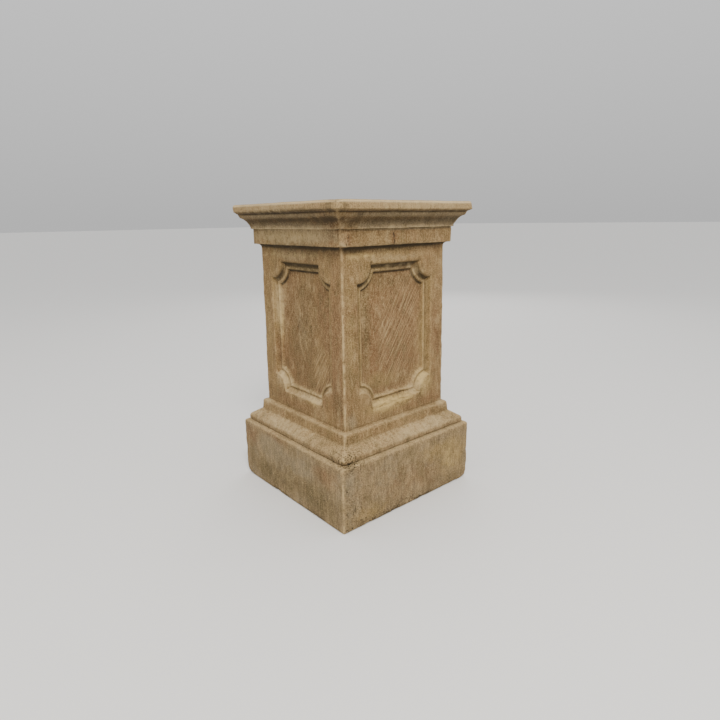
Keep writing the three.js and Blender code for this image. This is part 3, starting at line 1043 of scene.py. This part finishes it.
    def pits_and_cracks(self):
        """One in the pits, holes and cracks: a few pits anywhere, many in the pitted patches, and
        the single holes."""
        crowded = self.product(CROWDED_PITS)
        amount = self.maths("MAXIMUM", self.product(SPARSE_PITS), crowded)
        pits = self.maths("MULTIPLY", self.specks(*SMALL_PITS), amount)
        pits = self.maths("MAXIMUM", pits, self.maths("MULTIPLY", self.specks(*TINY_PITS), crowded))
        drifted = self.drifted()
        for hole in HOLES:
            pits = self.maths("MAXIMUM", pits, self.hole(drifted, *hole))
        return pits

    def comb_marks(self):
        """The raised and the sunk marks of the comb on the fields: a texture drawn out along the
        comb's strokes, in the plane of x less y, which serves the front and the left side alike."""
        right = self.maths("SUBTRACT", self.x, self.y)
        face = self.add("ShaderNodeCombineXYZ", {"X": right, "Z": self.level})[0]
        turned = self.mapped(face, EVEN, (0, COMB_SLOPE - math.pi / 2, 0))
        strokes = self.noise(self.mapped(turned, STROKE_STRETCH), *STROKE_TEXTURE)
        return [self.maths("MULTIPLY", self.spread(strokes, *limits), self.value("combed"))
                for limits in (RAISED_STROKES, SUNK_STROKES)]

    def fine_relief(self):
        """The normal of the fine relief: the heights of the marks added up, as a bump."""
        height = 0.0
        for name, rise in RELIEF.items():
            height = self.maths("ADD", height, self.product([name, rise]))
        return self.add("ShaderNodeBump", {"Strength": 1.0, "Distance": 1.0, "Height": height})["Normal"]


def weathered_stone():
    """Buff composition stone: its own layers, then the wash with its painted top light, then the layers
    of its surface.
    """
    material = bpy.data.materials.new("cast_stone")
    n = Stone(material)
    wash_and_toplight = (n.mix(n.factor(YELLOW_WASH_AND_TOPLIGHT), CREAM, STRAW), *WASHED_AND_TOPLIT)
    colour = n.layered(BUFF, [*STONE_LAYERS, wash_and_toplight, *SURFACE_LAYERS])
    shader = n.add("ShaderNodeBsdfPrincipled", {
        "Base Color": colour, "Roughness": n.factor(ROUGHNESS), "Specular IOR Level": SHEEN,
        "Normal": n.fine_relief()})
    n.add("ShaderNodeOutputMaterial", {"Surface": shader["BSDF"]})
    return material


# Relief in millimetres between which a place counts as a hollow, a seam, a deep hollow or an arris
HOLLOW_RELIEF = (0, 0.7)
SEAM_RELIEF = (0.5, 0.85)
DEEP_RELIEF = (0, 2.2)
SHARP_RELIEF = (0, 1.3)
# Depth in millimetres below the die's face between which a panel's moulding and field set in
MOULDING_SET_IN = (0, 3)
FIELD_SET_IN = (14, 17)
PANEL_MARGIN = 8
# Part of a hollow's dirt and painted shade that doesn't grow as the face turns downwards, and the dirt
# and painted shade of a seam
OPEN_SHARE = 0.16
SEAM_DIRT_AND_SHADE = 0.36
# Painted shade of an upright face, and how fast it grows as a face turns downwards
UPRIGHT_SHADE = 0.1
SHADE_GROWTH = 1.4
# The top: depth of its edge, the upward turn over which it sets in, and how much less its upward face is
# made paler
BED_EDGE = 2
BED_RISE = (0.5, 1)
BED_LOSS = 0.7


def point_values(smooth, rise, near, far):
    """The named values that the stone's colour depends on, at each point of the smooth surface."""
    level = smooth[:, 2]
    # Painted shade: stronger as a face turns downwards, away from the light above
    downward_shade = np.clip(UPRIGHT_SHADE - SHADE_GROWTH * rise, 0, 1)
    sunk = die_half(level) - np.maximum(np.abs(smooth[:, 0]), np.abs(smooth[:, 1]))
    in_panel = (level > PANEL_FOOT - PANEL_MARGIN) & (level < PANEL_HEAD + PANEL_MARGIN)
    field = in_panel * ramp(sunk, *FIELD_SET_IN)
    seam = in_panel * ramp(near, *SEAM_RELIEF) * (1 - field)
    bed = (level > TOP_LEVEL - BED_EDGE) * ramp(rise, *BED_RISE)
    # Hollows darkened with dirt and painted shade, most where the face turns downwards
    hollow = ramp(near, *HOLLOW_RELIEF) * (OPEN_SHARE + (1 - OPEN_SHARE) * downward_shade)
    values = {
        "hollow": np.clip(hollow + SEAM_DIRT_AND_SHADE * seam, 0, 1),
        # Broad hollows darkened with dirt and painted shade on faces that turn downwards
        "deep": ramp(far, *DEEP_RELIEF) * downward_shade,
        "shade_below": downward_shade,
        # Upward faces paler: rain wash with painted top light
        "washed_and_toplit": np.clip(rise, 0, 1) * (1 - BED_LOSS * bed),
        "bed": bed,
        "arris": ramp(-near, *SHARP_RELIEF),
        "combed": combed(smooth),
        "field": field,
        "moulding": in_panel * ramp(sunk, *MOULDING_SET_IN) * (1 - field),
    }
    for kind, patches in PATCHES.items():
        values[kind] = patched(smooth, patches) * (1 - bed)
    return values


def make_pedestal():
    """The pedestal as one closed mesh in the place of its solid."""
    surface = pedestal_surface()
    triangles = all_triangles(surface)
    everything = np.vstack(surface.points)
    smooth, near, far = everything[:, :3], everything[:, 3], everything[:, 4]
    rise = point_normals(smooth, triangles)[:, 2]
    points = weathered(smooth, near, triangles)
    piece = make_mesh("stone_pedestal", surface, points, point_values(smooth, rise, near, far))
    piece.data.materials.append(weathered_stone())
    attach(piece, "root")
    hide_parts("pedestal")
    return piece


# Camera, as fitted to the photograph's edges
CAMERA_PLACE = (-0.9097, -1.0954, 0.7202)
CAMERA_AZIMUTH = -40.46
CAMERA_FALL = 14.82
CAMERA_ROLL = -0.88
FOCAL_PIXELS = 530.5
IMAGE_PIXELS = 720
SENSOR_WIDTH = 36
NEAREST_SEEN = 0.05


def make_camera():
    """A camera that looks along its azimuth and down by its fall, turned by its roll."""
    azimuth, fall, roll = (math.radians(v) for v in (CAMERA_AZIMUTH, CAMERA_FALL, CAMERA_ROLL))
    flat = math.cos(fall)
    back = Vector((math.sin(azimuth) * flat, -math.cos(azimuth) * flat, math.sin(fall)))
    right = Vector((0, 0, 1)).cross(back).normalized()
    up = back.cross(right)
    turned_right = right * math.cos(roll) + up * math.sin(roll)
    turned_up = up * math.cos(roll) - right * math.sin(roll)
    data = bpy.data.cameras.new("camera")
    data.sensor_width = SENSOR_WIDTH
    data.lens = FOCAL_PIXELS / IMAGE_PIXELS * SENSOR_WIDTH
    data.clip_start = NEAREST_SEEN
    camera = bpy.data.objects.new("camera", data)
    turn = Matrix((turned_right, turned_up, back)).transposed()
    camera.matrix_world = Matrix.Translation(CAMERA_PLACE) @ turn.to_4x4()
    bpy.context.scene.collection.objects.link(camera)
    bpy.context.scene.camera = camera


FLOOR_REACH = 60
FLOOR_COLOUR = (0.74, 0.73, 0.71, 1)
FLOOR_ROUGHNESS = 0.9
HORIZON_COLOUR = (0.6, 0.6, 0.6, 1)
ZENITH_COLOUR = (1.3, 1.3, 1.3, 1)

# Soft studio lights: a key from above the near corner and a weak one from behind, as name, place,
# width, power and colour, and the point that they face
LIGHTS = [("key", (-1.35, -1.95, 3.0), 0.9, 120, (1, 0.97, 0.92)),
          ("behind", (2.6, 2.2, 1.9), 2.2, 25, (1, 0.98, 0.96))]
LIT_POINT = Vector((0, 0, 0.4))


def make_floor():
    """A plain pale floor."""
    mesh = bpy.data.meshes.new("floor")
    corners = [(-FLOOR_REACH, -FLOOR_REACH, 0), (FLOOR_REACH, -FLOOR_REACH, 0),
               (FLOOR_REACH, FLOOR_REACH, 0), (-FLOOR_REACH, FLOOR_REACH, 0)]
    mesh.from_pydata(corners, [], [(0, 1, 2, 3)])
    floor = bpy.data.objects.new("floor", mesh)
    bpy.context.scene.collection.objects.link(floor)
    material = bpy.data.materials.new("pale_floor")
    material.use_nodes = True
    shader = material.node_tree.nodes["Principled BSDF"]
    shader.inputs["Base Color"].default_value = FLOOR_COLOUR
    shader.inputs["Roughness"].default_value = FLOOR_ROUGHNESS
    mesh.materials.append(material)


def make_light(name, place, width, power, colour):
    """A square soft light that faces the lit point."""
    data = bpy.data.lights.new(name, "AREA")
    data.size = width
    data.energy = power
    data.color = colour
    light = bpy.data.objects.new(name, data)
    light.location = place
    light.rotation_euler = (LIT_POINT - Vector(place)).to_track_quat("-Z", "Y").to_euler()
    bpy.context.scene.collection.objects.link(light)


def make_room():
    """A pale room that grows brighter evenly from the horizon to right above."""
    world = bpy.data.worlds.new("room")
    world.use_nodes = True
    tree = world.node_tree
    heading = tree.nodes.new("ShaderNodeTexCoord")
    upward = tree.nodes.new("ShaderNodeSeparateXYZ")
    shade = tree.nodes.new("ShaderNodeMix")
    shade.data_type = "RGBA"
    shade.inputs[MIX_UNDER].default_value = HORIZON_COLOUR
    shade.inputs[MIX_OVER].default_value = ZENITH_COLOUR
    tree.links.new(heading.outputs["Generated"], upward.inputs[0])
    tree.links.new(upward.outputs["Z"], shade.inputs[MIX_SHARE])
    tree.links.new(shade.outputs[MIXED], tree.nodes["Background"].inputs["Color"])
    bpy.context.scene.world = world


make_camera()
make_floor()
for light in LIGHTS:
    make_light(*light)
make_room()
make_pedestal()
